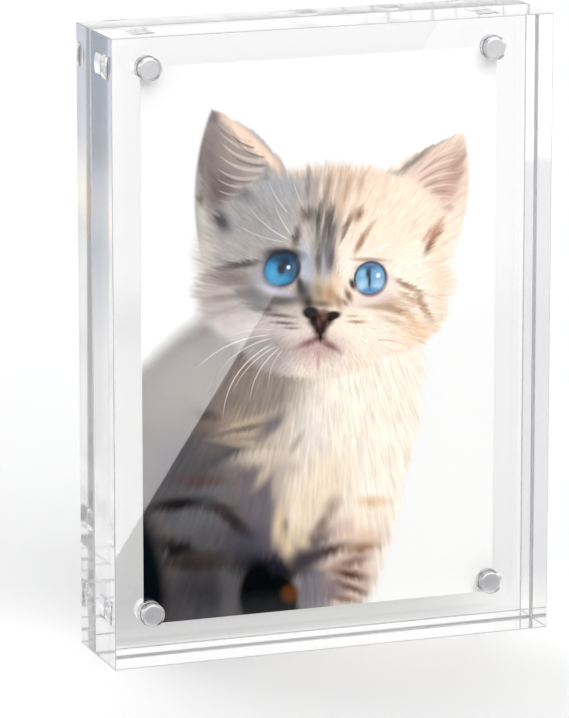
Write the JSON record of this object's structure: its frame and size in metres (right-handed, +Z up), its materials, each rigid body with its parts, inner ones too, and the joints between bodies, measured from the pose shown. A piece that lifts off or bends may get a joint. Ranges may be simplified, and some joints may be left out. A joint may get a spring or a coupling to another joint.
{
  "type": "acrylic photo frame",
  "caption": "Free-standing acrylic block photo frame: two clear blocks held face to face by corner magnets, with one print between them.",
  "frame": {"origin": "middle of the footprint on the surface that the frame stands on", "axes": "+X to the right seen from the front, +Y from the front face to the rear face, +Z up"},
  "size_m": [0.125, 0.0298, 0.171],
  "materials": {
    "acrylic": "clear cast acrylic with polished faces, edges and bevels",
    "nickel": "satin nickel plating",
    "photo_paper": "semi-gloss photo paper with a printed picture"
  },
  "bodies": {
    "rear_half": {"rear_block": "acrylic", "rear_magnet_top_left": "nickel", "rear_magnet_top_right": "nickel", "rear_magnet_bottom_left": "nickel", "rear_magnet_bottom_right": "nickel"},
    "front_half": {"front_block": "acrylic", "front_magnet_top_left": "nickel", "front_magnet_top_right": "nickel", "front_magnet_bottom_left": "nickel", "front_magnet_bottom_right": "nickel"},
    "print": {"photo_print": "photo_paper"}
  },
  "joints": [
    {"name": "front_pull", "type": "slide", "parent": "rear_half", "child": "front_half", "axis": [0, -1, 0], "range_m": [0, 0.06]},
    {"name": "print_lift", "type": "slide", "parent": "rear_half", "child": "print", "axis": [0, 0, 1], "range_m": [0, 0.165]}
  ]
}
